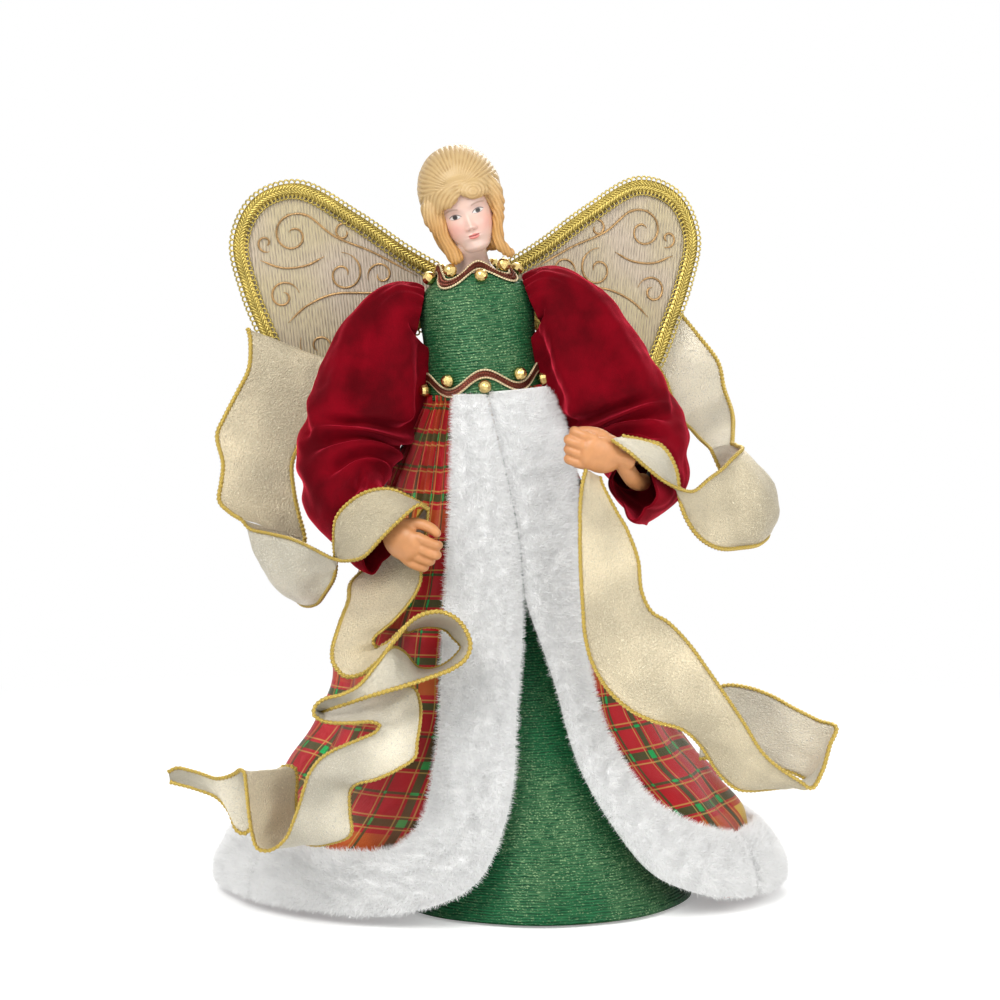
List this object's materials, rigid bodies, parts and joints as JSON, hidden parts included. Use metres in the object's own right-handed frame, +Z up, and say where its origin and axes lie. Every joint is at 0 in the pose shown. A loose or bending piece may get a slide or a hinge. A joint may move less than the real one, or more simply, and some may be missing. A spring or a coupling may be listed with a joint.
{
  "type": "angel tree topper",
  "caption": "Doll angel on a hollow cone for a tree tip: porcelain head, knitted bodice, velvet sleeves, fur-edged tartan overskirt, braided wings and wired ribbon; wings and arms bend.",
  "frame": {"origin": "middle of the bounding box seen from above, on the plane that the cone's rim stands on", "axes": "+Z up; the doll faces -Y; its right hand is on the -X side"},
  "size_m": [0.2668, 0.1908, 0.3098],
  "materials": {
    "card": "plain grey-brown card",
    "green_lurex": "ribbed knit with metallic thread",
    "torso_foam": "cut foam, hidden",
    "porcelain": "painted bisque, face and hair",
    "hand_skin": "smooth, slightly glossy",
    "gilt_bead": "faceted metallised gold",
    "sequin_braid": "brown sequins between cream-gold cords",
    "tartan": "taffeta, red tartan with gold and green",
    "fur": "short dense plush pile",
    "velvet": "crushed velvet with a sheen",
    "wadding": "loose polyester filling, hidden",
    "steel_wire": "soft wire",
    "organza": "sheer pleated cloth with glitter scrolls",
    "gold_gimp": "looped metallic gimp braid",
    "ribbon": "sheer metallic ribbon, wired gold edges",
    "felt": "felt pad"
  },
  "bodies": {
    "figure": {"base_cone": "card", "green_underskirt": "green_lurex", "bodice": "green_lurex", "torso_block": "torso_foam", "porcelain_head": "porcelain", "neck_braid": "sequin_braid", "waist_braid": "sequin_braid", "wing_anchor": "felt", "overskirt": "tartan", "fur_front_right": "fur", "fur_front_left": "fur", "fur_hem": "fur", "ribbon_right_drop": "ribbon", "ribbon_right_tail": "ribbon", "ribbon_left_tail": "ribbon", "neck_bead_1": "gilt_bead", "neck_bead_2": "gilt_bead", "neck_bead_3": "gilt_bead", "neck_bead_4": "gilt_bead", "neck_bead_5": "gilt_bead", "neck_bead_6": "gilt_bead", "neck_bead_7": "gilt_bead", "neck_bead_8": "gilt_bead", "waist_bead_1": "gilt_bead", "waist_bead_2": "gilt_bead", "waist_bead_3": "gilt_bead", "waist_bead_4": "gilt_bead", "waist_bead_5": "gilt_bead", "waist_bead_6": "gilt_bead", "waist_bead_7": "gilt_bead", "waist_bead_8": "gilt_bead", "waist_bead_9": "gilt_bead", "waist_bead_10": "gilt_bead"},
    "arm_right": {"sleeve_right": "velvet", "sleeve_wadding_right": "wadding", "arm_wire_right": "steel_wire", "hand_right": "hand_skin", "ribbon_right_wrap": "ribbon"},
    "arm_left": {"sleeve_left": "velvet", "sleeve_wadding_left": "wadding", "arm_wire_left": "steel_wire", "hand_left": "hand_skin", "ribbon_left_loop": "ribbon"},
    "wing_right": {"wing_panel_right": "organza", "wing_wire_right": "steel_wire", "wing_braid_right": "gold_gimp"},
    "wing_left": {"wing_panel_left": "organza", "wing_wire_left": "steel_wire", "wing_braid_left": "gold_gimp", "ribbon_left_drop": "ribbon"}
  },
  "joints": [
    {"name": "arm_right_raise", "type": "hinge", "parent": "figure", "child": "arm_right", "pos_m": [-0.03414, -0.00187, 0.23943], "axis": [-0.9949, 0, -0.1011], "range_deg": [0, 30], "deforming": ["ribbon_right_tail"]},
    {"name": "arm_left_raise", "type": "hinge", "parent": "figure", "child": "arm_left", "pos_m": [0.01162, -0.00187, 0.24408], "axis": [-0.9949, 0, -0.1011], "range_deg": [0, 30], "deforming": ["ribbon_left_tail"]},
    {"name": "wing_right_fold", "type": "hinge", "parent": "figure", "child": "wing_right", "pos_m": [-0.02143, 0.01889, 0.25279], "axis": [0.1011, 0, -0.9949], "range_deg": [0, 35]},
    {"name": "wing_left_fold", "type": "hinge", "parent": "figure", "child": "wing_left", "pos_m": [-0.00352, 0.01889, 0.2546], "axis": [-0.1011, 0, 0.9949], "range_deg": [0, 35]}
  ]
}
